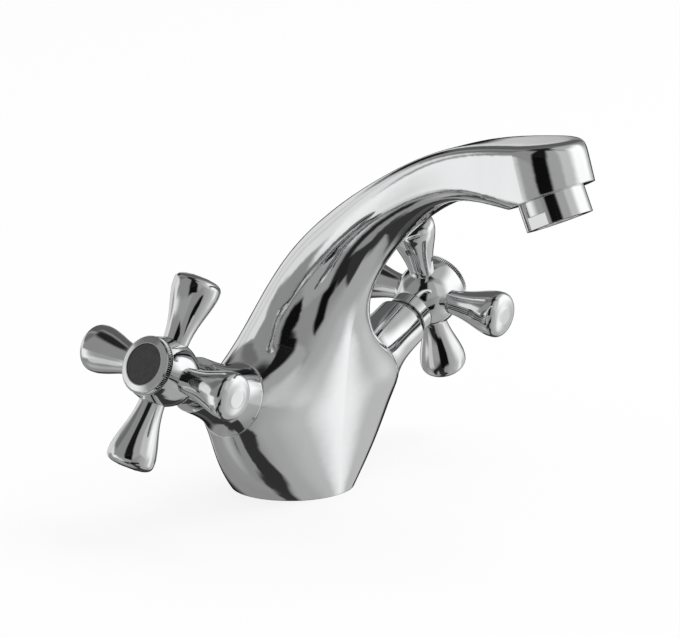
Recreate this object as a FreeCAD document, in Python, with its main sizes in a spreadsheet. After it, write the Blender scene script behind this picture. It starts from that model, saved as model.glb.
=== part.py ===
import FreeCAD, Part
import math
import os

import Sketcher

# Two-handle basin mixer, in millimetres.
# The origin is the centre of the base on the basin deck, +Z is up and the spout points to -Y.
# The hot handle is on the -X side and the cold handle on the +X side.

DIMENSIONS = {
    # Casting: base, shoulders and the two valve seats
    "base_radius": 22.8,
    "foot_height": 14.0,
    "foot_forward": 3.0,
    "foot_width": 35.3,
    "foot_depth": 23.4,
    "front_lean": 2.5,
    "front_sweep": 600.0,
    "axis_tilt": 26.0,
    "axis_height": 22.2,
    "axis_forward": 4.7,
    "seat_reach": 43.0,
    "seat_radius": 13.8,
    "foot_power": 2.2,
    "shoulder_power": 2.25,
    # Spout stations: place of the centre, slope of the centreline, half width and half depth
    "neck_forward": 9.7,
    "neck_height": 66.2,
    "neck_slope": 78.0,
    "neck_width": 25.0,
    "neck_depth": 17.9,
    "neck_belly": 19.6,
    "stem_forward": 17.35,
    "stem_height": 79.2,
    "stem_slope": 55.5,
    "stem_width": 19.0,
    "stem_depth": 16.8,
    "bend_forward": 29.6,
    "bend_height": 94.8,
    "bend_slope": 45.0,
    "bend_width": 14.9,
    "bend_depth": 14.0,
    "arm_forward": 55.0,
    "arm_height": 115.3,
    "arm_slope": 33.0,
    "arm_width": 14.4,
    "arm_depth": 10.0,
    "arch_forward": 83.0,
    "arch_height": 128.1,
    "arch_slope": 19.0,
    "arch_width": 14.1,
    "arch_depth": 9.6,
    # Nose of the spout: half-round end over the outlet, whose axis leans forward
    "outlet_reach": 119.0,
    "outlet_height": 124.2,
    "outlet_lean": 24.0,
    "nose_radius": 16.0,
    "nose_height": 19.5,
    "nose_lean": 17.0,
    "nose_slope": 6.0,
    "nose_trim": 5.8,
    "crown_power": 9.0,
    "belly_power": 5.0,
    # Waterways and connections of the casting
    "spout_wall": 3.5,
    "passage_radius": 3.5,
    "chamber_depth": 22.0,
    "chamber_radius": 9.0,
    "inlet_spacing": 19.0,
    "inlet_setback": 5.0,
    "inlet_radius": 5.0,
    "inlet_depth": 12.0,
    "stud_forward": 9.5,
    "stud_radius": 4.0,
    "stud_depth": 16.0,
    "gasket_rim": 1.9,
    "gasket_width": 3.0,
    "gasket_thickness": 2.0,
    # Aerator
    "aerator_radius": 12.0,
    "aerator_drop": 9.6,
    "aerator_thread_radius": 11.0,
    "aerator_thread_length": 6.0,
    "aerator_bore": 9.4,
    "aerator_lip": 1.0,
    "aerator_flat_depth": 0.7,
    "aerator_flat_height": 4.4,
    "jet_radius": 0.9,
    "jet_spacing": 3.4,
    "screen_thickness": 0.6,
    "washer_thickness": 1.6,
    "washer_width": 2.2,
    # Ceramic valve, measured along the handle axis
    "bonnet_wall": 1.6,
    "bonnet_flange_inset": 3.5,
    "bonnet_flange_thickness": 1.4,
    "bonnet_washer_thickness": 1.0,
    "bonnet_hex_margin": 1.1,
    "bonnet_hex_height": 3.4,
    "bonnet_neck_wall": 3.2,
    "bonnet_neck_gap": 0.9,
    "window_width": 6.0,
    "seal_thickness": 3.0,
    "seal_bore": 3.6,
    "disc_thickness": 2.5,
    "disc_slot_width": 3.6,
    "disc_slot_depth": 1.2,
    "disc_port_radius": 1.8,
    "disc_port_offset": 4.3,
    "dog_thickness": 2.8,
    "tongue_length": 10.0,
    "friction_thickness": 0.9,
    "spindle_radius": 4.0,
    "spline_depth": 0.4,
    "spline_length": 10.0,
    "ring_section_radius": 0.6,
    "ring_standoff": 13.0,
    "clip_thickness": 0.8,
    "clip_width": 1.8,
    "clip_depth": 0.5,
    "clip_recess": 2.0,
    # Shroud between the seat and the handle
    "shroud_length": 22.0,
    "shroud_end_width": 3.0,
    "shroud_wall": 1.3,
    "shroud_collar": 3.0,
    # Handle: hub, arms, bush, screw and index
    "hub_gap": 8.1,
    "hub_radius": 12.15,
    "hub_length": 13.9,
    "hub_nose": 18.4,
    "hub_back": 9.9,
    "hub_front": 8.7,
    "hub_skirt_radius": 8.3,
    "hub_skirt_length": 4.4,
    "hub_skirt_gap": 0.3,
    "hub_web_base": 1.4,
    "hub_web_thickness": 1.6,
    "bush_wall": 2.0,
    "arm_root_radius": 4.6,
    "arm_end_radius": 8.7,
    "arm_widest": 32.0,
    "arm_reach": 36.0,
    "arm_lean": 6.7,
    "arm_flare_power": 1.4,
    "arm_dome_power": 3.0,
    "spigot_radius": 2.5,
    "spigot_setoff": 1.4,
    "screw_radius": 2.5,
    "screw_head_radius": 4.3,
    "screw_head_height": 2.6,
    "screw_length": 9.0,
    "screw_socket_flats": 4.0,
    "screw_socket_depth": 1.6,
    "index_radius": 10.6,
    "index_band": 2.0,
    "index_height": 3.0,
    "index_chamfer": 0.35,
    "index_spigot_radius": 8.3,
    "index_spigot_wall": 1.6,
    "index_spigot_depth": 2.4,
    "knurl_depth": 0.4,
    "disc_face_radius": 7.5,
    "disc_face_thickness": 1.2,
    "disc_face_recess": 0.15,
    # Clearances
    "fit_gap": 0.05,
    "stack_gap": 0.05,
    "end_gap": 0.2,
    "clip_gap": 0.4,
}
KNURL_TEETH = 90
SPLINE_TEETH = 20
ARMS_PER_HANDLE = 4
SECTION_POINTS = 72
SKIN_SECTIONS = 28
FLARE_STEPS = 8
DOME_STEPS = 6
SIDES = {"hot": -1, "cold": 1}

doc = FreeCAD.newDocument("basin_mixer")
sheet = doc.addObject("Spreadsheet::Sheet", "Dimensions")
for row, (alias, number) in enumerate(DIMENSIONS.items(), start=1):
    sheet.set(f"A{row}", alias)
    sheet.set(f"B{row}", str(number))
    sheet.setAlias(f"B{row}", alias)
doc.recompute()


class Size:
    """A size that keeps its number together with the sheet formula that gives it."""

    def __init__(self, number, formula):
        self.number = number
        self.formula = formula

    def __add__(self, other):
        other = as_size(other)
        return Size(self.number + other.number, f"({self.formula} + {other.formula})")

    def __sub__(self, other):
        other = as_size(other)
        return Size(self.number - other.number, f"({self.formula} - {other.formula})")

    def __mul__(self, factor):
        return Size(self.number * factor, f"({self.formula} * {factor})")

    def __truediv__(self, factor):
        return Size(self.number / factor, f"({self.formula} / {factor})")


def as_size(number):
    return number if isinstance(number, Size) else Size(number, str(number))


class Dimensions:
    """The cells of the sheet, each read by its alias."""

    def __getattr__(self, alias):
        return Size(float(sheet.get(alias)), f"Dimensions.{alias}")


d = Dimensions()


# General helpers


def between(low, high, share):
    return low + (high - low) * share


def bind(piece, **sizes):
    for name, length in sizes.items():
        piece.setExpression(name, as_size(length).formula)


def cylinder(label, radius, height, base=None):
    piece = doc.addObject("Part::Cylinder", label)
    bind(piece, Radius=radius, Height=height)
    if base is not None:
        piece.setExpression("Placement.Base.z", base.formula)
    return piece


def box(label, length, width, height, x=0.0, y=0.0, z=0.0):
    """A box centred on x and y, standing on z."""
    piece = doc.addObject("Part::Box", label)
    bind(piece, Length=length, Width=width, Height=height)
    for axis, middle, extent in (("x", x, length), ("y", y, width)):
        corner = as_size(middle) - as_size(extent) / 2
        piece.setExpression(f"Placement.Base.{axis}", corner.formula)
    piece.setExpression("Placement.Base.z", as_size(z).formula)
    return piece


def prism(label, flats, height, base):
    """A hexagonal prism across its flats."""
    piece = doc.addObject("Part::Prism", label)
    piece.Polygon = 6
    bind(piece, Circumradius=as_size(flats) / (2 * math.cos(math.pi / 6)), Height=height)
    piece.setExpression("Placement.Base.z", as_size(base).formula)
    return piece


def fuse(label, *pieces):
    piece = doc.addObject("Part::MultiFuse", label)
    piece.Shapes = list(pieces)
    return piece


def cut(label, base, *tools):
    piece = doc.addObject("Part::Cut", label)
    piece.Base = base
    piece.Tool = tools[0] if len(tools) == 1 else fuse(label + "_tools", *tools)
    return piece


def turned(label, outline):
    """A body revolved about Z from an outline of (radius, height) pairs."""
    body = doc.addObject("PartDesign::Body", label)
    sketch = body.newObject("Sketcher::SketchObject", label + "_outline")
    plane = next(item for item in body.Origin.OriginFeatures if item.Role == "XZ_Plane")
    sketch.AttachmentSupport = [(plane, "")]
    sketch.MapMode = "FlatFace"
    corners = [(as_size(radius), as_size(height)) for radius, height in outline]
    points = [FreeCAD.Vector(radius.number, height.number, 0) for radius, height in corners]
    for start, end in zip(points, points[1:] + points[:1]):
        sketch.addGeometry(Part.LineSegment(start, end), False)
    for edge in range(len(points)):
        following = (edge + 1) % len(points)
        sketch.addConstraint(Sketcher.Constraint("Coincident", edge, 2, following, 1))
    for edge, corner in enumerate(corners):
        for kind, axis, length in zip(("DistanceX", "DistanceY"), (-2, -1), corner):
            if length.number == 0.0:
                sketch.addConstraint(Sketcher.Constraint("PointOnObject", edge, 1, axis))
                continue
            rule = Sketcher.Constraint(kind, -1, 1, edge, 1, length.number)
            index = sketch.addConstraint(rule)
            sketch.setExpression(f"Constraints[{index}]", length.formula)
    turn = body.newObject("PartDesign::Revolution", label + "_turn")
    turn.Profile = sketch
    turn.ReferenceAxis = (sketch, ["V_Axis"])
    turn.Angle = 360
    return body


def ring(label, inner, outer, base, thickness):
    base = as_size(base)
    top = base + thickness
    return turned(label, [(inner, base), (outer, base), (outer, top), (inner, top)])


def shaped(label, shape):
    piece = doc.addObject("Part::Feature", label)
    piece.Shape = shape
    return piece


def star(outer, inner, teeth, base, height):
    """A toothed bar: a star outline raised along Z."""
    points = []
    for step in range(2 * teeth):
        radius = outer if step % 2 == 0 else inner
        angle = math.pi * step / teeth
        points.append(FreeCAD.Vector(radius * math.cos(angle), radius * math.sin(angle), base))
    outline = Part.makePolygon(points + points[:1])
    return Part.Face(outline).extrude(FreeCAD.Vector(0, 0, height))


def bore_between(label, start, end, radius):
    """A straight drilled passage between two points."""
    piece = doc.addObject("Part::Cylinder", label)
    run = end - start
    bind(piece, Radius=radius)
    piece.Height = run.Length
    piece.Placement = FreeCAD.Placement(start, FreeCAD.Rotation(FreeCAD.Vector(0, 0, 1), run))
    return piece


# Frames: the two handle axes and the outlet axis

TILT = math.radians(d.axis_tilt.number)
LEAN = math.radians(d.outlet_lean.number)
AXIS_ORIGIN = FreeCAD.Vector(0, -d.axis_forward.number, d.axis_height.number)
OUTLET = FreeCAD.Vector(0, -d.outlet_reach.number, d.outlet_height.number)
OUTLET_DOWN = FreeCAD.Vector(0, -math.sin(LEAN), -math.cos(LEAN))
NOSE_LEAN = math.radians(d.nose_lean.number)
NOSE_DOWN = FreeCAD.Vector(0, -math.sin(NOSE_LEAN), -math.cos(NOSE_LEAN))
NOSE_FRONT = FreeCAD.Vector(0, -math.cos(NOSE_LEAN), math.sin(NOSE_LEAN))
MIX = FreeCAD.Vector(0, -d.axis_forward.number, d.neck_height.number - d.neck_depth.number)


def handle_frame(side):
    """Z runs outward along the handle axis, from where the axis crosses the middle plane."""
    turn = SIDES[side] * (90 - d.axis_tilt.number)
    return FreeCAD.Placement(AXIS_ORIGIN, FreeCAD.Rotation(FreeCAD.Vector(0, 1, 0), turn))


def outlet_frame(rise):
    """Z runs down the outlet axis, from a point inside the nose."""
    turn = FreeCAD.Rotation(FreeCAD.Vector(1, 0, 0), 180 - d.outlet_lean.number)
    return FreeCAD.Placement(OUTLET - OUTLET_DOWN * rise, turn)


# Heights along the handle axis and the radii that follow from other pieces

CHAMBER_FLOOR = d.seat_reach - d.chamber_depth
SEAL_BASE = CHAMBER_FLOOR + d.stack_gap
FIXED_BASE = SEAL_BASE + d.seal_thickness + d.stack_gap
TURNING_BASE = FIXED_BASE + d.disc_thickness + d.stack_gap
DOG_BASE = TURNING_BASE + d.disc_thickness + d.stack_gap
FRICTION_BASE = DOG_BASE + d.dog_thickness + d.stack_gap
CAVITY_TOP = FRICTION_BASE + d.friction_thickness + d.stack_gap
FLANGE_BASE = d.seat_reach + d.bonnet_washer_thickness + d.stack_gap
HEX_BASE = FLANGE_BASE + d.bonnet_flange_thickness
RING_REACH = d.seat_reach + d.ring_standoff
HUB_BASE = d.seat_reach + d.shroud_length + d.hub_gap
HUB_REACH = HUB_BASE + d.hub_back
NECK_END = HUB_BASE - d.bonnet_neck_gap
CLIP_BASE = NECK_END - d.clip_recess + d.end_gap
WEB_BASE = HUB_REACH + d.hub_web_base
SPINDLE_TOP = WEB_BASE - d.end_gap
RECESS_FLOOR = WEB_BASE + d.hub_web_thickness
INDEX_BASE = HUB_REACH + d.hub_front

GASKET_OUTER = d.base_radius - d.gasket_rim
GASKET_INNER = GASKET_OUTER - d.gasket_width
CAVITY_RADIUS = d.chamber_radius - d.fit_gap - d.bonnet_wall
DISC_RADIUS = CAVITY_RADIUS - d.fit_gap * 2
FLANGE_RADIUS = d.seat_radius - d.bonnet_flange_inset
NECK_RADIUS = d.spindle_radius + d.bonnet_neck_wall
SHROUD_END_RADIUS = NECK_RADIUS + d.shroud_end_width
BUSH_RADIUS = d.spindle_radius + d.bush_wall
SPIGOT_START = BUSH_RADIUS + d.spigot_setoff


# Casting


def section_curve(forward, height, slope, width, depth, belly, crown_power, belly_power):
    """A closed rounded curve square to a centreline that climbs forward at the given slope.

    Depth is measured to the crown, at the back or the top, and belly to the front or the underside.
    """
    climb = math.radians(slope)
    points = []
    for step in range(SECTION_POINTS):
        angle = 2 * math.pi * step / SECTION_POINTS
        across, up = -round(math.sin(angle), 9), round(math.cos(angle), 9)
        reach, power = (depth, crown_power) if up >= 0 else (belly, belly_power)
        swell = (abs(across) ** power + abs(up) ** power) ** (-1 / power)
        rise = reach * up * swell
        y = -forward + rise * math.sin(climb)
        points.append(FreeCAD.Vector(width * across * swell, y, height + rise * math.cos(climb)))
    curve = Part.BSplineCurve()
    steps = [step / SECTION_POINTS for step in range(SECTION_POINTS + 1)]
    curve.interpolate(Points=points, PeriodicFlag=True, Parameters=steps)
    curve.setNotPeriodic()
    return curve


def front_reach(height):
    """How far the gently curved front of the casting stands out at a height above the deck."""
    lean = height * math.tan(math.radians(d.front_lean.number))
    return d.base_radius.number + lean + height ** 2 / (2 * d.front_sweep.number)


def rim_power(across, ahead):
    """The roundness at which a curve of unit sides passes a point, given by its two shares of them."""
    low, high = 1.0, 8.0
    while high - low > 1e-6:
        power = (low + high) / 2
        low, high = (power, high) if across ** power + ahead ** power > 1 else (low, power)
    return low


def shoulder_stations():
    """Level stations whose curves pass through the rims of both valve seats."""
    rim = d.seat_radius.number
    seat_x = d.seat_reach.number * math.cos(TILT)
    seat_z = d.axis_height.number + d.seat_reach.number * math.sin(TILT)
    stations = []
    for share in (-1.0, -0.5, 0.0, 0.5, 1.0):
        rise = share * rim * math.cos(TILT)
        height = seat_z + rise
        climb = (height - d.foot_height.number) / (d.neck_height.number - d.foot_height.number)
        depth = d.foot_depth.number + climb * (d.neck_depth.number - d.foot_depth.number)
        reach = seat_x - rise * math.tan(TILT)
        chord = rim * math.sqrt(1 - share ** 2)
        power = d.shoulder_power.number
        width = reach / (1 - (chord / depth) ** power) ** (1 / power)
        belly = front_reach(height) - d.axis_forward.number
        front_power = rim_power(reach / width, chord / belly) if chord else power
        stations.append((d.axis_forward.number, height, 90, width, depth, belly, power, front_power, 0))
    return stations


def nose_station(ahead=0.0):
    """The boxy station that holds the outlet axis, or a like one further ahead."""
    tall = d.nose_height.number
    below = d.nose_trim.number
    climb = math.radians(d.nose_slope.number)
    middle = OUTLET - NOSE_DOWN * ((tall - below) / 2)
    middle = middle + FreeCAD.Vector(0, -math.cos(climb), math.sin(climb)) * ahead
    half = (tall + below) / 2
    size = [d.nose_radius.number, half, half]
    return -middle.y, middle.z, d.nose_lean.number, *size, 2.0, 2.0, 1


def spout_station(name):
    """Place of a station of the spout, forward and up, its slope, half width and half depth."""
    parts = ("forward", "height", "slope", "width", "depth")
    return [getattr(d, f"{name}_{part}").number for part in parts]


def casting_stations():
    """Stations of the casting from the base, through the shoulders, to the nose.

    Each one has its place, slope, width, depth, belly and the powers of its crown and belly curves,
    and ends with a share that says how boxy it is: 0 is rounded and 1 is the nose.
    """
    base = d.base_radius.number
    foot_belly = front_reach(d.foot_height.number) - d.foot_forward.number
    foot = [d.foot_forward.number, d.foot_height.number, 90, d.foot_width.number, d.foot_depth.number]
    foot_power = d.foot_power.number
    stations = [(0, 0, 90, base, base, base, 2.0, 2.0, 0)]
    stations += [(*foot, foot_belly, foot_power, foot_power, 0), *shoulder_stations()]
    stations.append((*spout_station("neck"), d.neck_belly.number, 2.0, 2.0, 0))
    for name, boxy in (("stem", 0), ("bend", 0), ("arm", 0.15), ("arch", 0.5)):
        place = spout_station(name)
        stations.append((*place, place[-1], 2.0, 2.0, boxy))
    return stations + [nose_station()]


def guide_curve(values, travel):
    """A smooth curve through values set at given places of the travel along the casting."""
    curve = Part.BSplineCurve()
    curve.interpolate(Points=[FreeCAD.Vector(*item) for item in values], Parameters=travel)
    return curve


def casting_surface():
    """The outside of the casting as one smooth surface, run round each section and along the casting."""
    stations = casting_stations() + [nose_station(d.nose_radius.number)]
    travel = [0.0]
    for low, high in zip(stations, stations[1:]):
        travel.append(travel[-1] + math.dist(low[:2], high[:2]))
    path = guide_curve([item[:3] for item in stations], travel)
    guides = []
    for column in range(3, len(stations[0])):
        values = [(item[column], 0, place) for item, place in zip(stations, travel)]
        guides.append(guide_curve(values, travel))
    places = [travel[-2] * step / (SKIN_SECTIONS - 1) for step in range(SKIN_SECTIONS)]
    sections = []
    for place in places:
        forward, height, slope = path.value(place)
        width, depth, belly, crown_power, belly_power, boxy = [guide.value(place).x for guide in guides]
        boxy = max(0.0, boxy)
        crown_power = between(crown_power, d.crown_power.number, boxy)
        belly_power = between(belly_power, d.belly_power.number, boxy)
        sections.append(section_curve(
            forward, height, slope, width, depth, belly, crown_power, belly_power))
    strands = [guide_curve(column, places) for column in zip(*(item.getPoles() for item in sections))]
    section, strand = sections[0], strands[0]
    surface = Part.BSplineSurface()
    surface.buildFromPolesMultsKnots(
        [item.getPoles() for item in strands], section.getMultiplicities(), strand.getMultiplicities(),
        section.getKnots(), strand.getKnots(), False, False, section.Degree, strand.Degree)
    return surface


def nose_end(side):
    """Half of the round nose end: its side swung about the nose axis, then sheared to a flatter top."""
    swung = side.revolve(OUTLET, NOSE_DOWN, 90)
    drop = math.tan(math.radians(d.nose_lean.number - d.nose_slope.number))
    shear = FreeCAD.Matrix()
    shear.A22 += drop * NOSE_DOWN.y * NOSE_FRONT.y
    shear.A23 += drop * NOSE_DOWN.y * NOSE_FRONT.z
    shear.A32 += drop * NOSE_DOWN.z * NOSE_FRONT.y
    shear.A33 += drop * NOSE_DOWN.z * NOSE_FRONT.z
    kept = OUTLET - shear.multVec(OUTLET)
    shear.A24, shear.A34 = kept.y, kept.z
    return swung.transformGeometry(shear)


def casting_skin():
    """The closed skin: two mirrored halves, the round foot and the half-round nose end."""
    surface = casting_surface()
    start, end = surface.bounds()[2:]
    middle, across = FreeCAD.Vector(), FreeCAD.Vector(1, 0, 0)
    rim = surface.vIso(start).toShape(0.5, 1.0)
    foot = Part.Face(Part.Wire([rim, rim.mirror(middle, across)]))
    half = Part.makeCompound([
        surface.toShape(0.5, 1.0, start, end), nose_end(surface.vIso(end).toShape(0.5, 1.0))])
    skin = Part.makeCompound([half, half.mirror(middle, across), foot])
    skin.sewShape()
    return Part.makeSolid(skin.Shells[0])


def trimmed_casting():
    """The skin with its flat outlet face and two flat valve seats."""
    span = 4 * d.nose_radius.number
    below = Part.makeBox(span, span, span / 2, FreeCAD.Vector(-span / 2, -span / 2, 0))
    below.Placement = outlet_frame(0)
    casting = casting_skin().cut(below)
    block = 4 * d.seat_radius.number
    corner = FreeCAD.Vector(-block / 2, -block / 2, d.seat_reach.number)
    for side in SIDES:
        beyond = Part.makeBox(block, block, block, corner)
        beyond.Placement = handle_frame(side)
        casting = casting.cut(beyond)
    return casting


def circle(centre, slope, radius):
    climb = math.radians(slope)
    normal = FreeCAD.Vector(0, -math.cos(climb), math.sin(climb))
    return Part.Wire([Part.makeCircle(radius, centre, normal)])


def spout_waterway():
    """The cored channel that follows the spout inside its wall."""
    wall = d.spout_wall.number
    circles = [circle(MIX, 90, 2 * d.passage_radius.number)]
    for name in ("neck", "stem", "bend", "arm", "arch"):
        forward, height, slope, width, depth = spout_station(name)
        centre = FreeCAD.Vector(0, -forward, height)
        circles.append(circle(centre, slope, min(width, depth) - wall))
    return Part.makeLoft(circles, True, False)


def make_casting():
    skin = shaped("casting_skin", trimmed_casting())
    channel = shaped("spout_waterway", spout_waterway())
    socket_depth = d.aerator_thread_length + d.washer_thickness + d.stack_gap * 2
    socket = cylinder("aerator_socket", d.aerator_thread_radius + d.fit_gap, socket_depth)
    socket.Placement = outlet_frame(socket_depth.number)
    arch = FreeCAD.Vector(0, -d.arch_forward.number, d.arch_height.number)
    socket_top = OUTLET - OUTLET_DOWN * (socket_depth.number - d.stack_gap.number)
    outlet_run = bore_between("outlet_run", arch, socket_top, d.arch_depth - d.spout_wall)
    groove = ring(
        "gasket_groove", GASKET_INNER - d.fit_gap, GASKET_OUTER + d.fit_gap, 0.0,
        d.gasket_thickness + d.stack_gap)
    stud = cylinder("stud_hole", d.stud_radius, d.stud_depth)
    stud.setExpression("Placement.Base.y", (Size(0.0, "0") - d.stud_forward).formula)
    tools = [channel, socket, outlet_run, groove, stud]
    for side, sign in SIDES.items():
        frame = handle_frame(side)
        chamber = cylinder(f"{side}_chamber", d.chamber_radius, d.seat_reach - CHAMBER_FLOOR)
        floor = frame.multVec(FreeCAD.Vector(0, 0, CHAMBER_FLOOR.number))
        chamber.Placement = FreeCAD.Placement(floor, frame.Rotation)
        inlet = cylinder(f"{side}_inlet", d.inlet_radius, d.inlet_depth)
        inlet_x = sign * d.inlet_spacing.number / 2
        inlet.setExpression("Placement.Base.x", (d.inlet_spacing * (sign / 2)).formula)
        inlet.setExpression("Placement.Base.y", d.inlet_setback.formula)
        inlet_top = FreeCAD.Vector(inlet_x, d.inlet_setback.number, d.inlet_depth.number)
        supply = bore_between(f"{side}_supply", inlet_top, floor, d.passage_radius)
        window = frame.multVec(FreeCAD.Vector(0, 0, DOG_BASE.number + d.dog_thickness.number / 2))
        delivery = bore_between(f"{side}_delivery", window, MIX, d.passage_radius)
        tools += [chamber, inlet, supply, delivery]
    return cut("mixer_body", skin, *tools)


# Base gasket and aerator


def make_base_gasket():
    return ring("base_gasket", GASKET_INNER, GASKET_OUTER, 0.0, d.gasket_thickness)


def make_aerator():
    thread = d.aerator_thread_length
    bottom = thread + d.stack_gap + d.aerator_drop
    lip = d.aerator_bore - d.aerator_lip
    shell = turned("aerator_shell", [
        (d.aerator_bore, 0.0), (d.aerator_thread_radius, 0.0), (d.aerator_thread_radius, thread),
        (d.aerator_radius, thread + d.stack_gap), (d.aerator_radius, bottom), (lip, bottom),
        (lip, bottom - d.aerator_lip), (d.aerator_bore, bottom - d.aerator_lip),
    ])
    flats = []
    for name, sign in (("left", -1), ("right", 1)):
        middle = (d.aerator_radius * 2 - d.aerator_flat_depth) * sign
        flats.append(box(
            f"aerator_flat_{name}", d.aerator_radius * 2, d.aerator_radius * 2, d.aerator_flat_height,
            x=middle, z=bottom - d.aerator_flat_height))
    housing = cut("aerator_housing", shell, *flats)
    insert_radius = d.aerator_bore - d.fit_gap
    screen_base = d.stack_gap
    insert_base = screen_base + d.screen_thickness + d.stack_gap
    insert_height = bottom - d.aerator_lip - d.stack_gap - insert_base
    core = cylinder("aerator_core", insert_radius, insert_height, insert_base)
    jets = []
    for ring_index, count in enumerate((1, 6, 12)):
        for step in range(count):
            angle = 2 * math.pi * step / count
            jet = cylinder(f"jet_{ring_index}_{step}", d.jet_radius, bottom)
            offset = d.jet_spacing * ring_index
            jet.setExpression("Placement.Base.x", (offset * math.cos(angle)).formula)
            jet.setExpression("Placement.Base.y", (offset * math.sin(angle)).formula)
            jets.append(jet)
    insert = cut("aerator_insert", core, *jets)
    screen = ring("aerator_screen", d.jet_radius, insert_radius, screen_base, d.screen_thickness)
    washer = ring(
        "aerator_washer", d.aerator_thread_radius - d.washer_width, d.aerator_thread_radius, 0.0,
        d.washer_thickness)
    for piece in (housing, insert, screen):
        piece.Placement = outlet_frame(thread.number + d.stack_gap.number)
    washer_rise = thread.number + 2 * d.stack_gap.number + d.washer_thickness.number
    washer.Placement = outlet_frame(washer_rise)
    return [housing, insert, screen, washer]


# Ceramic valve


def make_valve(side):
    thread = d.chamber_radius - d.fit_gap
    bonnet_base = CHAMBER_FLOOR + d.stack_gap
    barrel = turned(f"{side}_bonnet_barrel", [
        (CAVITY_RADIUS, bonnet_base), (thread, bonnet_base), (thread, FLANGE_BASE),
        (FLANGE_RADIUS, FLANGE_BASE), (FLANGE_RADIUS, HEX_BASE),
        (NECK_RADIUS, HEX_BASE), (NECK_RADIUS, NECK_END),
        (d.spindle_radius + d.clip_width, NECK_END),
        (d.spindle_radius + d.clip_width, NECK_END - d.clip_recess),
        (d.spindle_radius + d.fit_gap, NECK_END - d.clip_recess),
        (d.spindle_radius + d.fit_gap, CAVITY_TOP), (CAVITY_RADIUS, CAVITY_TOP),
    ])
    nut = prism(f"{side}_bonnet_nut", (NECK_RADIUS + d.bonnet_hex_margin) * 2, d.bonnet_hex_height, HEX_BASE)
    nut_bore = cylinder(f"{side}_nut_bore", NECK_RADIUS, d.bonnet_hex_height, HEX_BASE)
    hexagon = cut(f"{side}_bonnet_hexagon", nut, nut_bore)
    window = box(
        f"{side}_bonnet_window", d.chamber_radius * 2, d.window_width, d.dog_thickness,
        x=d.chamber_radius * -SIDES[side], z=DOG_BASE)
    solid = fuse(f"{side}_bonnet_solid", barrel, hexagon)
    bonnet = cut(f"{side}_valve_bonnet", solid, window)

    washer = ring(
        f"{side}_bonnet_washer", d.chamber_radius, FLANGE_RADIUS, d.seat_reach,
        d.bonnet_washer_thickness)
    seal = ring(f"{side}_seat_seal", d.seal_bore, DISC_RADIUS, SEAL_BASE, d.seal_thickness)
    discs = []
    for name, base in (("fixed", FIXED_BASE), ("turning", TURNING_BASE)):
        blank = cylinder(f"{side}_{name}_blank", DISC_RADIUS, d.disc_thickness, base)
        cuts = []
        for port, sign in (("front", -1), ("rear", 1)):
            hole = cylinder(f"{side}_{name}_{port}_port", d.disc_port_radius, d.disc_thickness, base)
            hole.setExpression("Placement.Base.y", (d.disc_port_offset * sign).formula)
            cuts.append(hole)
        if name == "turning":
            slot_depth = d.disc_slot_depth + d.stack_gap
            cuts.append(box(
                f"{side}_drive_slot", DISC_RADIUS * 4, d.disc_slot_width, slot_depth,
                z=base + d.disc_thickness - slot_depth))
        discs.append(cut(f"{side}_{name}_disc", blank, *cuts))
    friction = ring(
        f"{side}_friction_washer", d.spindle_radius + d.fit_gap, DISC_RADIUS, FRICTION_BASE,
        d.friction_thickness)
    return [bonnet, washer, seal, *discs, friction]


def make_spindle(side):
    groove = d.spindle_radius - d.ring_section_radius * 2 - d.fit_gap * 2
    groove_half = d.ring_section_radius + d.fit_gap
    clip_floor = d.spindle_radius - d.clip_depth
    clip_low, clip_high = CLIP_BASE - d.stack_gap, CLIP_BASE + d.clip_thickness + d.stack_gap
    spline_base = SPINDLE_TOP - d.spline_length
    screw_bottom = RECESS_FLOOR - d.screw_length - d.stack_gap
    dog_radius = DISC_RADIUS - d.fit_gap
    shaft = turned(f"{side}_spindle_shaft", [
        (0.0, DOG_BASE), (dog_radius, DOG_BASE), (dog_radius, DOG_BASE + d.dog_thickness),
        (d.spindle_radius, DOG_BASE + d.dog_thickness),
        (d.spindle_radius, RING_REACH - groove_half), (groove, RING_REACH - groove_half),
        (groove, RING_REACH + groove_half), (d.spindle_radius, RING_REACH + groove_half),
        (d.spindle_radius, clip_low), (clip_floor, clip_low),
        (clip_floor, clip_high), (d.spindle_radius, clip_high),
        (d.spindle_radius, spline_base), (0.0, spline_base),
    ])
    teeth = shaped(f"{side}_spindle_spline", star(
        d.spindle_radius.number, d.spindle_radius.number - d.spline_depth.number, SPLINE_TEETH,
        spline_base.number, d.spline_length.number))
    tongue = box(
        f"{side}_spindle_tongue", d.tongue_length, d.disc_slot_width - d.fit_gap * 2, d.disc_slot_depth,
        z=DOG_BASE - d.disc_slot_depth)
    solid = fuse(f"{side}_spindle_solid", shaft, teeth, tongue)
    tapped = cylinder(
        f"{side}_spindle_tapping", d.screw_radius + d.fit_gap, SPINDLE_TOP - screw_bottom, screw_bottom)
    spindle = cut(f"{side}_valve_spindle", solid, tapped)

    seal = doc.addObject("Part::Torus", f"{side}_spindle_ring")
    bind(seal, Radius1=d.spindle_radius - d.ring_section_radius - d.fit_gap, Radius2=d.ring_section_radius)
    seal.Placement.Base = FreeCAD.Vector(0, 0, RING_REACH.number)
    clip_inner = clip_floor + d.fit_gap
    clip_outer = d.spindle_radius + d.clip_width - d.clip_gap
    full = ring(f"{side}_clip_blank", clip_inner, clip_outer, CLIP_BASE, d.clip_thickness)
    mouth = box(
        f"{side}_clip_mouth", d.spindle_radius * 2, d.spindle_radius, d.clip_thickness * 3,
        x=d.spindle_radius, z=CLIP_BASE - d.clip_thickness)
    clip = cut(f"{side}_spindle_clip", full, mouth)
    return [spindle, seal, clip]


# Shroud


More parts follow.
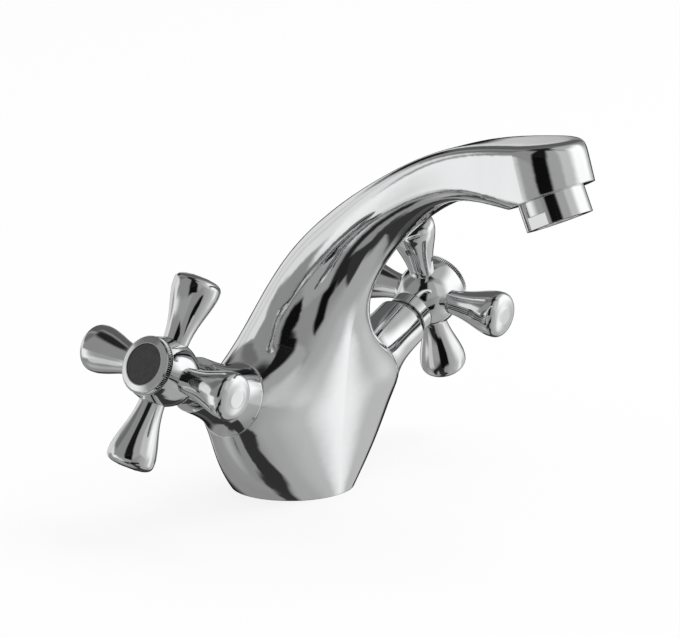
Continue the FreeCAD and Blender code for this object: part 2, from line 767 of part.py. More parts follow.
def circles_loft(label, stations):
    """A smooth round skin through (radius, height) stations."""
    rounds = []
    for index, (radius, height) in enumerate(stations):
        station = doc.addObject("Part::Circle", f"{label}_round_{index}")
        bind(station, Radius=radius)
        station.setExpression("Placement.Base.z", height.formula)
        rounds.append(station)
    skin = doc.addObject("Part::Loft", label)
    skin.Sections = rounds
    skin.Solid = True
    skin.Ruled = False
    return skin


def make_shroud(side):
    flare = d.seat_radius - SHROUD_END_RADIUS
    stations = []
    for share in (0.0, 0.12, 0.3, 0.6, 1.0):
        radius = SHROUD_END_RADIUS + flare * (1 - share) ** 3
        stations.append((radius, d.seat_reach + d.stack_gap + d.shroud_length * share))
    outside = circles_loft(f"{side}_shroud_outside", stations)
    hollow = [(radius - d.shroud_wall, height) for radius, height in stations]
    collar_base = d.seat_reach + d.shroud_length - d.shroud_collar
    inside = circles_loft(f"{side}_shroud_inside", hollow)
    plug = cylinder(f"{side}_shroud_plug", d.seat_radius, d.shroud_length, collar_base)
    cavity = cut(f"{side}_shroud_cavity", inside, plug)
    bore = cylinder(
        f"{side}_shroud_bore", NECK_RADIUS + d.fit_gap, d.shroud_length * 2, d.seat_reach)
    return cut(f"{side}_shroud", outside, cavity, bore)


# Handle


def hub_ball(label, grow, whole):
    """The hub's ball of two half ellipsoids, cut off flat at the back and front unless it is whole."""
    halves = []
    for end, length, flat, sign in (
            ("back", d.hub_length, d.hub_back, -1), ("front", d.hub_nose, d.hub_front, 1)):
        half = doc.addObject("Part::Ellipsoid", f"{label}_{end}")
        bind(half, Radius1=length + grow, Radius2=d.hub_radius + grow)
        near, far = ("Angle2", "Angle1") if sign < 0 else ("Angle1", "Angle2")
        half.setExpression(near, "0")
        if not whole:
            half.setExpression(far, f"{sign} * asin({flat.formula} / {length.formula})")
        half.setExpression("Placement.Base.z", HUB_REACH.formula)
        halves.append(half)
    return fuse(label, *halves)


def arm_turns(side):
    """Angles of the arms about the handle axis, with the upper arm leaning to the front."""
    sign = SIDES[side]
    return [180 * (sign > 0) + sign * d.arm_lean.number + 90 * step for step in range(ARMS_PER_HANDLE)]


def arm_shape():
    """A flared arm with a domed end, turned about Z, which runs out from the handle axis."""
    root, wide = d.arm_root_radius.number, d.arm_end_radius.number
    start, widest, end = SPIGOT_START.number, d.arm_widest.number, d.arm_reach.number
    flare = []
    for step in range(FLARE_STEPS + 1):
        share = step / FLARE_STEPS
        swell = share ** d.arm_flare_power.number
        radius = between(root, wide, swell * swell * (3 - 2 * swell))
        flare.append(FreeCAD.Vector(radius, 0, between(start, widest, share)))
    power = 2 / d.arm_dome_power.number
    dome = []
    for step in range(DOME_STEPS + 1):
        angle = math.pi / 2 * step / DOME_STEPS
        radius = wide * round(math.cos(angle), 9) ** power
        dome.append(FreeCAD.Vector(radius, 0, between(widest, end, math.sin(angle) ** power)))
    along, inward = FreeCAD.Vector(0, 0, 1), FreeCAD.Vector(-1, 0, 0)
    side_curve, end_curve = Part.BSplineCurve(), Part.BSplineCurve()
    side_curve.interpolate(Points=flare, InitialTangent=along, FinalTangent=along)
    end_curve.interpolate(Points=dome, InitialTangent=along, FinalTangent=inward)
    foot, tip = FreeCAD.Vector(0, 0, start), FreeCAD.Vector(0, 0, end)
    outline = [Part.makeLine(foot, flare[0]), side_curve.toShape(), end_curve.toShape()]
    outline.append(Part.makeLine(tip, foot))
    face = Part.Face(Part.Wire(outline))
    return face.revolve(FreeCAD.Vector(), along, 360)


def make_arms(side):
    arms = []
    for index, turn in enumerate(arm_turns(side), start=1):
        name = f"{side}_arm_{index}"
        reach = FreeCAD.Vector(0, 0, HUB_REACH.number)
        spin = FreeCAD.Rotation(FreeCAD.Vector(0, 0, 1), turn)
        radial = spin.multiply(FreeCAD.Rotation(FreeCAD.Vector(0, 1, 0), 90))
        flared = shaped(f"{name}_flared", arm_shape())
        flared.Placement = FreeCAD.Placement(reach, radial)
        seat = hub_ball(f"{name}_seat", d.fit_gap, True)
        outer = cut(f"{name}_outer", flared, seat)
        spigot = cylinder(f"{name}_spigot", d.spigot_radius, d.hub_radius + d.end_gap - SPIGOT_START)
        start = reach + radial.multVec(FreeCAD.Vector(0, 0, SPIGOT_START.number))
        spigot.Placement = FreeCAD.Placement(start, radial)
        arms.append(fuse(name, outer, spigot))
    return arms


def make_hub(side):
    ball = hub_ball(f"{side}_hub_ball", 0.0, False)
    skirt = ring(
        f"{side}_hub_skirt", NECK_RADIUS + d.hub_skirt_gap, d.hub_skirt_radius,
        HUB_BASE - d.hub_skirt_length, d.hub_skirt_length)
    solid = fuse(f"{side}_hub_solid", ball, skirt)
    bush_bore = cylinder(
        f"{side}_hub_bush_bore", BUSH_RADIUS + d.fit_gap, WEB_BASE - HUB_BASE, HUB_BASE)
    screw_hole = cylinder(
        f"{side}_hub_screw_hole", d.screw_radius + d.fit_gap * 2, d.hub_length, HUB_REACH)
    recess = cylinder(
        f"{side}_hub_recess", d.index_spigot_radius + d.fit_gap, d.hub_front, RECESS_FLOOR)
    holes = []
    for index, turn in enumerate(arm_turns(side), start=1):
        hole = cylinder(f"{side}_hub_arm_hole_{index}", d.spigot_radius + d.fit_gap, d.hub_radius)
        spin = FreeCAD.Rotation(FreeCAD.Vector(0, 0, 1), turn)
        radial = spin.multiply(FreeCAD.Rotation(FreeCAD.Vector(0, 1, 0), 90))
        depth = SPIGOT_START.number - d.fit_gap.number
        start = FreeCAD.Vector(0, 0, HUB_REACH.number) + radial.multVec(FreeCAD.Vector(0, 0, depth))
        hole.Placement = FreeCAD.Placement(start, radial)
        holes.append(hole)
    return cut(f"{side}_handle_hub", solid, bush_bore, screw_hole, recess, *holes)


def make_bush(side):
    base = HUB_BASE + d.end_gap
    height = WEB_BASE - d.end_gap - base
    blank = cylinder(f"{side}_bush_blank", BUSH_RADIUS, height, base)
    broach = shaped(f"{side}_bush_broach", star(
        d.spindle_radius.number + d.fit_gap.number,
        d.spindle_radius.number - d.spline_depth.number + d.fit_gap.number, SPLINE_TEETH,
        base.number, height.number))
    lead_in = cylinder(
        f"{side}_bush_lead_in", d.spindle_radius + d.fit_gap,
        SPINDLE_TOP - d.spline_length + d.stack_gap - base, base)
    return cut(f"{side}_spline_bush", blank, broach, lead_in)


def make_screw(side):
    head_top = RECESS_FLOOR + d.screw_head_height
    blank = turned(f"{side}_screw_blank", [
        (0.0, RECESS_FLOOR - d.screw_length), (d.screw_radius, RECESS_FLOOR - d.screw_length),
        (d.screw_radius, RECESS_FLOOR), (d.screw_head_radius, RECESS_FLOOR),
        (d.screw_head_radius, head_top), (0.0, head_top),
    ])
    socket = prism(
        f"{side}_screw_socket", d.screw_socket_flats, d.screw_socket_depth,
        head_top - d.screw_socket_depth)
    return cut(f"{side}_handle_screw", blank, socket)


def make_index(side):
    face = INDEX_BASE + d.index_height
    band_top = INDEX_BASE + d.stack_gap + d.index_band
    well = d.disc_face_radius + d.fit_gap
    well_floor = face - d.disc_face_recess - d.disc_face_thickness - d.stack_gap
    root = d.index_radius - d.knurl_depth
    spigot_inner = d.index_spigot_radius - d.index_spigot_wall
    bezel = turned(f"{side}_index_bezel", [
        (spigot_inner, INDEX_BASE - d.index_spigot_depth),
        (d.index_spigot_radius, INDEX_BASE - d.index_spigot_depth),
        (d.index_spigot_radius, INDEX_BASE + d.stack_gap), (root, INDEX_BASE + d.stack_gap),
        (root, band_top), (root - d.index_chamfer, band_top + d.index_chamfer),
        (well + d.index_chamfer, face), (well, face), (well, well_floor),
        (spigot_inner, well_floor),
    ])
    band = shaped(f"{side}_knurl_star", star(
        d.index_radius.number, root.number, KNURL_TEETH, INDEX_BASE.number + d.stack_gap.number,
        d.index_band.number))
    band_bore = cylinder(f"{side}_knurl_bore", d.index_spigot_radius, d.index_band * 2, INDEX_BASE)
    knurl = cut(f"{side}_knurl_band", band, band_bore)
    ring_piece = fuse(f"{side}_index_ring", bezel, knurl)
    disc_top = face - d.disc_face_recess
    disc = turned(f"{side}_index_disc", [
        (0.0, well_floor + d.stack_gap), (d.disc_face_radius, well_floor + d.stack_gap),
        (d.disc_face_radius, disc_top - d.disc_face_recess),
        (d.disc_face_radius - d.disc_face_recess, disc_top), (0.0, disc_top),
    ])
    return [ring_piece, disc]


# Assembly

pieces = [make_casting(), make_base_gasket(), *make_aerator()]
for side in SIDES:
    stack = [
        *make_valve(side), *make_spindle(side), make_shroud(side), make_hub(side), *make_arms(side),
        make_bush(side), make_screw(side), *make_index(side),
    ]
    doc.recompute()
    for piece in stack:
        piece.Placement = handle_frame(side).multiply(piece.Placement)
    pieces += stack
doc.recompute()

failed = [item.Label for item in doc.Objects if {"Invalid", "Error"} & set(item.State)]
bad = [piece.Label for piece in pieces if piece.Shape.isNull() or not piece.Shape.isValid()]
if failed or bad:
    raise RuntimeError(f"failed features: {failed}; bad shapes: {bad}")

os.makedirs("parts", exist_ok=True)
for piece in pieces:
    piece.Shape.exportStep(f"parts/{piece.Label}.step")
    print(piece.Label, len(piece.Shape.Solids), round(piece.Shape.Volume, 1))
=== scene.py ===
import math

import bpy
from mathutils import Matrix, Vector

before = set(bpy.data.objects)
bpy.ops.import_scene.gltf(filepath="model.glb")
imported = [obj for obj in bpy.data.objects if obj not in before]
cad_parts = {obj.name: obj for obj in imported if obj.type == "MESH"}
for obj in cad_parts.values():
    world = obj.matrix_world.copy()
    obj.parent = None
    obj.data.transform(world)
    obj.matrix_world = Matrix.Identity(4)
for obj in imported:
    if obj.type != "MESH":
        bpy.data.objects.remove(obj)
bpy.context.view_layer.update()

# Mixer body: one brass casting with the round foot, two valve collars and the arched spout.
# It is fettled, polished by hand on the wheel and plated, so its mirror has a faint ripple and a few soft
# wipe marks. It stands on the basin on its foot.

PLATE_COLOUR = (0.83, 0.833, 0.838, 1)
PLATE_SHADE = (0.79, 0.795, 0.805, 1)
CLEAN_PLATE = 0.015
WIPED_PLATE = 0.045
WIPES_PER_METRE = 90
WIPES_DRAWN_OUT = (1, 1, 0.35)
EDGE_SAMPLES = 6


def blank_finish(name):
    """A new material with its shader and a source of positions in metres."""
    finish = bpy.data.materials.new(name)
    finish.use_nodes = True
    tree = finish.node_tree
    shader = tree.nodes["Principled BSDF"]
    place = tree.nodes.new("ShaderNodeTexCoord").outputs["Object"]
    return finish, tree, shader, place


def mottle(tree, place, grains_per_metre, stretch=(1, 1, 1), detail=3):
    """A noise pattern laid over the piece, drawn out along an axis if asked."""
    lay = tree.nodes.new("ShaderNodeMapping")
    lay.inputs["Scale"].default_value = stretch
    tree.links.new(place, lay.inputs["Vector"])
    noise = tree.nodes.new("ShaderNodeTexNoise")
    noise.inputs["Scale"].default_value = grains_per_metre
    noise.inputs["Detail"].default_value = detail
    tree.links.new(lay.outputs["Vector"], noise.inputs["Vector"])
    return noise.outputs["Fac"]


def spread(tree, pattern, low, high, start=0.35, end=0.65):
    """The pattern stretched to run from one value to another."""
    remap = tree.nodes.new("ShaderNodeMapRange")
    remap.interpolation_type = "SMOOTHSTEP"
    for socket, number in (("From Min", start), ("From Max", end), ("To Min", low), ("To Max", high)):
        remap.inputs[socket].default_value = number
    tree.links.new(pattern, remap.inputs["Value"])
    return remap.outputs["Result"]


def tint(tree, pattern, low, high, start=0.3, end=0.7):
    """A colour that drifts between two shades with the pattern."""
    ramp = tree.nodes.new("ShaderNodeValToRGB")
    for stop, position, shade in zip(ramp.color_ramp.elements, (start, end), (low, high)):
        stop.position = position
        stop.color = shade
    tree.links.new(pattern, ramp.inputs["Fac"])
    return ramp.outputs["Color"]


def relief(tree, pattern, depth, normal=None):
    """A fine relief of the given depth in metres, on top of another one if given."""
    bump = tree.nodes.new("ShaderNodeBump")
    bump.inputs["Distance"].default_value = depth
    tree.links.new(pattern, bump.inputs["Height"])
    if normal is not None:
        tree.links.new(normal, bump.inputs["Normal"])
    return bump.outputs["Normal"]


def broken_edge(tree, radius):
    """Edges taken off by polishing, to a small radius."""
    edge = tree.nodes.new("ShaderNodeBevel")
    edge.samples = EDGE_SAMPLES
    edge.inputs["Radius"].default_value = radius
    return edge.outputs["Normal"]


def chrome_plate(name, edge, ripple_depth, ripples_per_metre):
    """Bright chrome over polished brass, with soft wipe marks and the ripple of its polishing."""
    finish, tree, shader, place = blank_finish(name)
    shader.inputs["Metallic"].default_value = 1
    wiped = mottle(tree, place, WIPES_PER_METRE, WIPES_DRAWN_OUT)
    tree.links.new(tint(tree, wiped, PLATE_SHADE, PLATE_COLOUR), shader.inputs["Base Color"])
    tree.links.new(spread(tree, wiped, CLEAN_PLATE, WIPED_PLATE), shader.inputs["Roughness"])
    ripple = mottle(tree, place, ripples_per_metre, detail=1)
    normal = relief(tree, ripple, ripple_depth, broken_edge(tree, edge))
    tree.links.new(normal, shader.inputs["Normal"])
    return finish


def dress(finish, *names):
    """Put a finish on nodes of the frame."""
    for name in names:
        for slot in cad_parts[name].material_slots:
            slot.material = finish


dress(chrome_plate("cast_chrome", edge=0.0008, ripple_depth=3e-6, ripples_per_metre=220), "mixer_body")

# Base gasket: the soft ring in the groove of the foot, which seals it to the basin.
# It is moulded black rubber with a fine matt grain, pressed into its groove without glue.

RUBBER_DARK = (0.012, 0.012, 0.013, 1)
RUBBER_PALE = (0.028, 0.028, 0.029, 1)


def moulded_rubber(name):
    """Black rubber with a fine matt grain."""
    finish, tree, shader, place = blank_finish(name)
    grain = mottle(tree, place, grains_per_metre=1500)
    tree.links.new(tint(tree, grain, RUBBER_DARK, RUBBER_PALE), shader.inputs["Base Color"])
    tree.links.new(spread(tree, grain, low=0.5, high=0.75), shader.inputs["Roughness"])
    tree.links.new(relief(tree, grain, depth=2e-5), shader.inputs["Normal"])
    return finish


seal_rubber = moulded_rubber("seal_rubber")
dress(seal_rubber, "base_gasket")

# Aerator: a turned and plated brass ring screwed into the outlet, with two spanner flats.
# Inside it a moulded white jet plate sits on the lip, a steel screen over it and a rubber washer above.

PLASTIC_WHITE = (0.84, 0.84, 0.82, 1)
PLASTIC_CREAM = (0.78, 0.78, 0.75, 1)
STEEL_BRIGHT = (0.62, 0.62, 0.63, 1)
STEEL_DULL = (0.5, 0.5, 0.51, 1)


def moulded_plastic(name):
    """White plastic with the slight grain of its mould."""
    finish, tree, shader, place = blank_finish(name)
    grain = mottle(tree, place, grains_per_metre=900)
    tree.links.new(tint(tree, grain, PLASTIC_CREAM, PLASTIC_WHITE), shader.inputs["Base Color"])
    tree.links.new(spread(tree, grain, low=0.32, high=0.45), shader.inputs["Roughness"])
    tree.links.new(relief(tree, grain, depth=5e-6), shader.inputs["Normal"])
    return finish


def bright_steel(name):
    """Stainless steel with fine level brush lines."""
    finish, tree, shader, place = blank_finish(name)
    shader.inputs["Metallic"].default_value = 1
    brushed = mottle(tree, place, grains_per_metre=400, stretch=(1, 1, 12))
    tree.links.new(tint(tree, brushed, STEEL_DULL, STEEL_BRIGHT), shader.inputs["Base Color"])
    tree.links.new(spread(tree, brushed, low=0.2, high=0.34), shader.inputs["Roughness"])
    tree.links.new(relief(tree, brushed, depth=4e-6), shader.inputs["Normal"])
    return finish


white_plastic = moulded_plastic("white_plastic")
stainless_steel = bright_steel("stainless_steel")
ring_chrome = chrome_plate("turned_chrome", edge=0.0003, ripple_depth=1.5e-6, ripples_per_metre=400)
dress(ring_chrome, "aerator_housing")
dress(white_plastic, "aerator_insert")
dress(stainless_steel, "aerator_screen")
dress(seal_rubber, "aerator_washer")

# Ceramic valves: one to each side, screwed into the collars under the shrouds.
# A nickelled brass bonnet holds two lapped ceramic discs, their seals and the brass spindle that turns them.

# The bonnet nickel is set darker than bright nickel. This is painted shade for the bonnet neck, which sits in
# the dark recess between hub and shroud. The drift between the two tones is the metal's own.
PAINTED_SHADE_NICKEL_PALE = (0.55, 0.55, 0.54, 1)
PAINTED_SHADE_NICKEL_DARK = (0.42, 0.42, 0.41, 1)
BRASS_PALE = (0.78, 0.60, 0.30, 1)
BRASS_DARK = (0.62, 0.46, 0.21, 1)
CERAMIC_PALE = (0.90, 0.89, 0.86, 1)
CERAMIC_GREY = (0.82, 0.81, 0.78, 1)


def turned_metal(name, dark, pale, smooth, rough):
    """Turned brass, raw or plated, a little uneven in colour and polish."""
    finish, tree, shader, place = blank_finish(name)
    shader.inputs["Metallic"].default_value = 1
    lines = mottle(tree, place, grains_per_metre=700)
    tree.links.new(tint(tree, lines, dark, pale), shader.inputs["Base Color"])
    tree.links.new(spread(tree, lines, smooth, rough), shader.inputs["Roughness"])
    normal = relief(tree, lines, depth=2e-6, normal=broken_edge(tree, radius=0.0003))
    tree.links.new(normal, shader.inputs["Normal"])
    return finish


def lapped_ceramic(name):
    """Pale ceramic with a fine grain, lapped smooth."""
    finish, tree, shader, place = blank_finish(name)
    grain = mottle(tree, place, grains_per_metre=2500)
    tree.links.new(tint(tree, grain, CERAMIC_GREY, CERAMIC_PALE), shader.inputs["Base Color"])
    tree.links.new(spread(tree, grain, low=0.12, high=0.22), shader.inputs["Roughness"])
    return finish


nickel_brass = turned_metal("nickel_brass", PAINTED_SHADE_NICKEL_DARK, PAINTED_SHADE_NICKEL_PALE, smooth=0.16, rough=0.28)
raw_brass = turned_metal("raw_brass", BRASS_DARK, BRASS_PALE, smooth=0.22, rough=0.36)
ceramic = lapped_ceramic("ceramic")
SIDES = ("hot", "cold")
for side in SIDES:
    dress(nickel_brass, f"{side}_valve_bonnet")
    dress(raw_brass, f"{side}_valve_spindle")
    dress(ceramic, f"{side}_fixed_disc", f"{side}_turning_disc")
    dress(seal_rubber, f"{side}_bonnet_washer", f"{side}_seat_seal", f"{side}_spindle_ring")
    dress(white_plastic, f"{side}_friction_washer")
    dress(stainless_steel, f"{side}_spindle_clip")

# Shrouds: flared sleeves that slip over the valve bonnets and stand on the collars of the body.
# They are spun from brass tube, polished and plated, and held between the collar and the bonnet neck.

shroud_chrome = chrome_plate("spun_chrome", edge=0.0004, ripple_depth=2e-6, ripples_per_metre=320)
dress(shroud_chrome, *(f"{side}_shroud" for side in SIDES))

# Handles: a ball-shaped hub with four flared arms, fitted to the spindle by a splined bush and a screw.
# Hub and arms are turned brass; the arms are pressed into the hub by their spigots, then all is plated.

handle_chrome = chrome_plate("handle_chrome", edge=0.0004, ripple_depth=2.5e-6, ripples_per_metre=300)
for side in SIDES:
    dress(handle_chrome, f"{side}_handle_hub", *(f"{side}_arm_{number}" for number in (1, 2, 3, 4)))
    dress(white_plastic, f"{side}_spline_bush")
    dress(stainless_steel, f"{side}_handle_screw")

# Index: a plated bezel with a straight knurl pressed into the front of each hub, to hide the screw.
# It holds a plain charcoal disc, moulded with a smooth satin face.

CHARCOAL = (0.033, 0.033, 0.035, 1)
CHARCOAL_PALE = (0.048, 0.048, 0.05, 1)
# Painted shade: the knurl's grooves are darkened wherever ambient occlusion finds them sheltered.
GROOVE_PAINTED_SHADE = (0.03, 0.03, 0.03, 1)
GROOVE_REACH = 0.0006


def knurled_plate(name):
    """Chrome plate with painted shade darkening the grooves of the knurl."""
    finish = chrome_plate(name, edge=0.0001, ripple_depth=1e-6, ripples_per_metre=500)
    tree = finish.node_tree
    shader = tree.nodes["Principled BSDF"]
    plate = shader.inputs["Base Color"].links[0].from_socket
    # Painted shade: the base colour falls to near black where the grooves shelter the surface.
    sheltered = tree.nodes.new("ShaderNodeAmbientOcclusion")
    sheltered.inputs["Distance"].default_value = GROOVE_REACH
    painted_groove_shade = tree.nodes.new("ShaderNodeMix")
    painted_groove_shade.data_type = "RGBA"
    unshaded_share = spread(tree, sheltered.outputs["AO"], low=0, high=1, start=0.55, end=0.95)
    tree.links.new(unshaded_share, painted_groove_shade.inputs["Factor"])
    painted_groove_shade.inputs["A"].default_value = GROOVE_PAINTED_SHADE
    tree.links.new(plate, painted_groove_shade.inputs["B"])
    tree.links.new(painted_groove_shade.outputs["Result"], shader.inputs["Base Color"])
    return finish


def satin_charcoal(name):
    """Dark satin plastic with a fine even grain."""
    finish, tree, shader, place = blank_finish(name)
    grain = mottle(tree, place, grains_per_metre=700)
    tree.links.new(tint(tree, grain, CHARCOAL, CHARCOAL_PALE), shader.inputs["Base Color"])
    tree.links.new(spread(tree, grain, low=0.34, high=0.46), shader.inputs["Roughness"])
    tree.links.new(relief(tree, grain, depth=6e-6), shader.inputs["Normal"])
    return finish


knurl_chrome = knurled_plate("knurl_chrome")
index_plastic = satin_charcoal("index_plastic")
for side in SIDES:
    dress(knurl_chrome, f"{side}_index_ring")
    dress(index_plastic, f"{side}_index_disc")

# Studio floor: a wide sheet of white paper under the mixer, which keeps its soft shadow.
# It is lit by one large soft lamp above, and shows white to the lens.

FLOOR_HALF = 6.0
FLOOR_COLOUR = (0.9, 0.9, 0.9, 1)
FLOOR_GLOW = 0.84
LAMP_PLACE = (0.9, -0.7, 2.0)
LAMP_SIZE = 1.4
LAMP_POWER = 24


def worked(tree, operation, *terms):
    """A sum done on sockets or plain numbers, as one node of the tree."""
    step = tree.nodes.new("ShaderNodeMath")
    step.operation = operation
    for socket, term in zip(step.inputs, terms):
        if isinstance(term, (int, float)):
            socket.default_value = term
        else:
            tree.links.new(term, socket)
    return step.outputs["Value"]


def background_rays(tree):
    """1 for rays that show the background: straight from the lens, mirrored or through glass."""
    ray = tree.nodes.new("ShaderNodeLightPath").outputs
    straight = worked(tree, "ADD", ray["Is Camera Ray"], ray["Is Glossy Ray"])
    return worked(tree, "ADD", straight, ray["Is Transmission Ray"])


def mixed(tree, share, first, second, output):
    """Two shaders mixed by the share of the second, led to an output."""
    mix = tree.nodes.new("ShaderNodeMixShader")
    for socket, source in zip(mix.inputs, (share, first, second)):
        tree.links.new(source, socket)
    tree.links.new(mix.outputs["Shader"], tree.nodes[output].inputs["Surface"])


corners = [(x * FLOOR_HALF, y * FLOOR_HALF, 0) for x, y in ((-1, -1), (1, -1), (1, 1), (-1, 1))]
paper_sheet = bpy.data.meshes.new("paper_sheet")
paper_sheet.from_pydata(corners, [], [(0, 1, 2, 3)])
floor = bpy.data.objects.new("paper_floor", paper_sheet)
bpy.context.collection.objects.link(floor)
floor.visible_glossy = False

paper, paper_tree, paper_shader = blank_finish("white_paper")[:3]
paper_shader.inputs["Base Color"].default_value = FLOOR_COLOUR
paper_shader.inputs["Roughness"].default_value = 1
paper_shader.inputs["Specular IOR Level"].default_value = 0
glow = paper_tree.nodes.new("ShaderNodeEmission").outputs["Emission"]
share = worked(paper_tree, "MULTIPLY", background_rays(paper_tree), FLOOR_GLOW)
mixed(paper_tree, share, paper_shader.outputs["BSDF"], glow, "Material Output")
floor.data.materials.append(paper)

softbox = bpy.data.lights.new("overhead_softbox", "AREA")
softbox.size = LAMP_SIZE
softbox.energy = LAMP_POWER
lamp = bpy.data.objects.new("overhead_softbox", softbox)
lamp.location = LAMP_PLACE
lamp.rotation_mode = "QUATERNION"
lamp.rotation_quaternion = (-lamp.location).to_track_quat("-Z", "Y")
lamp.visible_glossy = False
bpy.context.collection.objects.link(lamp)

# Light tent: what the polished metal mirrors. Grey and pale cloths, a softbox, a strip light and black flags
# hang before the white background. Bearings, in degrees, are 0 straight ahead of the spout and grow by way of
# the cold handle to 180 at the back; heights are above the level, and a shade of 1 is white.

PLAIN_LIGHT = (0.72, 0.72, 0.72, 1)

tent = bpy.data.worlds.new("light_tent")
bpy.context.scene.world = tent
tent.use_nodes = True
tent_tree = tent.node_tree
toward = tent_tree.nodes.new("ShaderNodeSeparateXYZ")
tent_tree.links.new(tent_tree.nodes.new("ShaderNodeTexCoord").outputs["Generated"], toward.inputs["Vector"])
ahead = worked(tent_tree, "MULTIPLY", toward.outputs["Y"], -1)
bearing = worked(tent_tree, "DEGREES", worked(tent_tree, "ARCTAN2", toward.outputs["X"], ahead))
height = worked(tent_tree, "DEGREES", worked(tent_tree, "ARCSINE", toward.outputs["Z"]))


def inside(value, low, high, softness):
    """1 between two edges and 0 outside them, with a soft change at each."""
    after_low = spread(tent_tree, value, 0, 1, low - softness, low + softness)
    before_high = spread(tent_tree, value, 1, 0, high - softness, high + softness)
    return worked(tent_tree, "MULTIPLY", after_low, before_high)


def hang(light, name, shade, bearings, heights, slant=0, soft=(5, 5)):
    """Hang a panel before what hangs there already.

    It rises by its slant for each degree of bearing. The two soft values, in degrees, say how far its upright
    and its level edges fade to each side.
    """
    from_middle = worked(tent_tree, "SUBTRACT", bearing, sum(bearings) / 2)
    rise = worked(tent_tree, "MULTIPLY", from_middle, slant)
    along = inside(bearing, *bearings, soft[0])
    up = inside(worked(tent_tree, "SUBTRACT", height, rise), *heights, soft[1])
    cover = worked(tent_tree, "MULTIPLY", along, up)
    change = worked(tent_tree, "MULTIPLY", cover, worked(tent_tree, "SUBTRACT", shade, light))
    hung = worked(tent_tree, "ADD", light, change)
    hung.node.label = name
    return hung


light = 1
light = hang(light, "grey cloth all round", 0.30, (-200, 200), (-100, 100))
light = hang(light, "black ceiling", 0.02, (-190, 190), (66, 100), soft=(5, 8))
light = hang(light, "dark stand", 0.04, (-190, 190), (-100, -80), soft=(5, 3))
light = hang(light, "pale card low behind the hot handle", 0.48, (-180, -140), (-64, -44), soft=(12, 10))
light = hang(light, "dim cloth high on the hot side", 0.18, (-190, -138), (26, 62), soft=(6, 4))
light = hang(light, "grey cloth low in front", 0.43, (-12, 85), (-76, 5), soft=(18, 3))
light = hang(light, "paler cloth towards the cold side", 0.56, (20, 105), (-44, 5), soft=(15, 8))
light = hang(light, "glow above the large softbox", 0.48, (15, 88), (32, 80), soft=(8, 8))
light = hang(light, "grey cloth high in front", 0.40, (-42, 24), (8, 60), soft=(6, 5))
light = hang(light, "pale card straight ahead", 0.6, (-8, 44), (-9, 36), slant=-0.8, soft=(6, 6))
light = hang(light, "large softbox", 1.2, (27, 84), (-7, 42), soft=(12, 14))
light = hang(light, "upright strip light", 1.08, (43, 60), (-38, 5), soft=(10, 12))
light = hang(light, "grey cloth on the hot side", 0.37, (-125, -62), (-38, 2), soft=(4, 3))
light = hang(light, "pale card low on the hot side", 0.65, (-132, -102), (-44, -18), soft=(4, 4))
light = hang(light, "skirt of the stand", 0.02, (-128, -38), (-57, -43), slant=0.25, soft=(4, 3))
light = hang(light, "fold in the skirt", 0.02, (-80, -40), (-68, -48), soft=(4, 2))
light = hang(light, "front of the stand", 0.035, (-78, -3), (-100, -59), soft=(5, 2))
light = hang(light, "black slanted boom", 0.005, (-58, -13), (-39, -21), slant=0.38, soft=(3, 3))
light = hang(light, "black flag, lower half", 0.005, (-80, -43), (0, 22), soft=(4, 2))
light = hang(light, "black flag, upper half", 0.01, (-82, -41), (20, 100), soft=(5, 3))
light = hang(light, "pale cloth behind the hot handle", 0.83, (-190, -143), (2, 23), slant=-0.15, soft=(4, 2))
light = hang(light, "pale cloth beside it", 1.0, (-152, -121), (-28, 3), soft=(14, 4))
light = hang(light, "cold side of the stand", 0.04, (91, 150), (-84, -50), soft=(4, 4))
light = hang(light, "dark cloth above it", 0.08, (102, 150), (-52, -31))
light = hang(light, "dim cloth high on the cold side", 0.12, (108, 190), (14, 62), slant=0.2, soft=(5, 4))
light = hang(light, "pale cloth behind the cold handle", 0.8, (128, 190), (-22, 12), slant=0.3, soft=(3, 2))
light = hang(light, "black card behind the mixer", 0.015, (103, 148), (-40, 0), soft=(5, 3))
light = hang(light, "narrow pale card above it", 0.7, (127.5, 137), (3, 11), soft=(1.5, 3))
light = hang(light, "black line beside it", 0.01, (138, 166), (12, 24), slant=0.6, soft=(3, 2))
for half in ((-200, -171), (171, 200)):
    light = hang(light, "grey curtain at the back", 0.33, half, (-82, 68), soft=(8, 6))
    light = hang(light, "pale band on the curtain", 0.8, half, (-8, 22), soft=(8, 4))

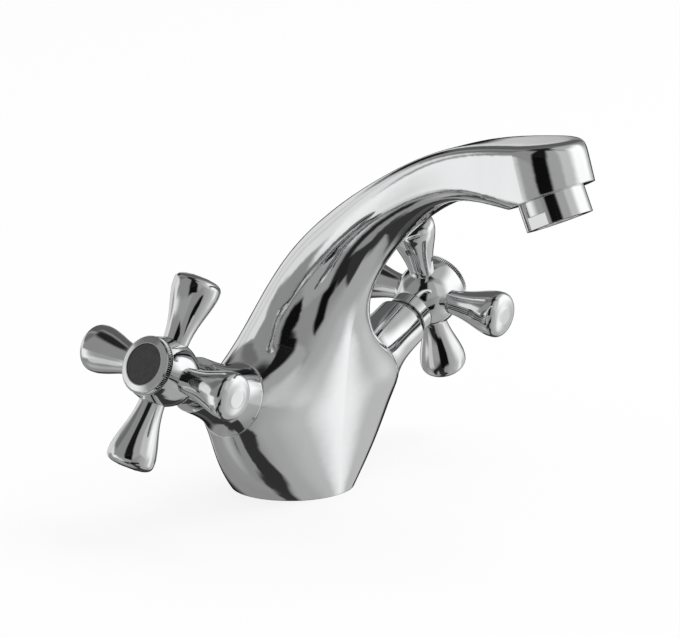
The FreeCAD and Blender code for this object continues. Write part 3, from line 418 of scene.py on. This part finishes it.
mirrored = tent_tree.nodes.new("ShaderNodeLightPath").outputs["Is Glossy Ray"]
before_white = worked(tent_tree, "MULTIPLY", mirrored, worked(tent_tree, "SUBTRACT", light, 1))
background = tent_tree.nodes.new("ShaderNodeBackground")
tent_tree.links.new(worked(tent_tree, "ADD", 1, before_white), background.inputs["Color"])
plain = tent_tree.nodes["Background"]
plain.inputs["Color"].default_value = PLAIN_LIGHT
shown = background_rays(tent_tree)
mixed(tent_tree, shown, plain.outputs["Background"], background.outputs["Background"], "World Output")

# Camera: a long lens to the front and left of the spout, a little above it, as the mixer was photographed.
# It is aimed so that the mixer falls where it does in a frame of 680 by 637.

VIEW_BEARING = math.radians(49.51)
VIEW_HEIGHT = math.radians(13.65)
VIEW_ROLL = math.radians(-0.75)
VIEW_DISTANCE = 1.5475
LOOKED_AT = Vector((0, 0, 0.063))
FRAME_WIDTH = 680
FOCAL_PIXELS = 4225.37
AIM_RIGHT = 49.46
AIM_UP = -0.16
SENSOR_WIDTH = 36

to_camera = Vector((
    -math.sin(VIEW_BEARING) * math.cos(VIEW_HEIGHT), -math.cos(VIEW_BEARING) * math.cos(VIEW_HEIGHT),
    math.sin(VIEW_HEIGHT)))
level = Vector((math.cos(VIEW_BEARING), -math.sin(VIEW_BEARING), 0))
upright = to_camera.cross(level)
right_hand = level * math.cos(VIEW_ROLL) + upright * math.sin(VIEW_ROLL)
upward = upright * math.cos(VIEW_ROLL) - level * math.sin(VIEW_ROLL)
back = (to_camera * FOCAL_PIXELS - right_hand * AIM_RIGHT - upward * AIM_UP).normalized()
across = upward.cross(back).normalized()
camera_data = bpy.data.cameras.new("long_lens")
camera_data.sensor_width = SENSOR_WIDTH
camera_data.lens = FOCAL_PIXELS / FRAME_WIDTH * SENSOR_WIDTH
camera = bpy.data.objects.new("long_lens", camera_data)
turn = Matrix((across, back.cross(across), back)).transposed()
camera.matrix_world = Matrix.Translation(LOOKED_AT + to_camera * VIEW_DISTANCE) @ turn.to_4x4()
bpy.context.collection.objects.link(camera)
bpy.context.scene.camera = camera
bpy.context.scene.view_settings.view_transform = "Standard"
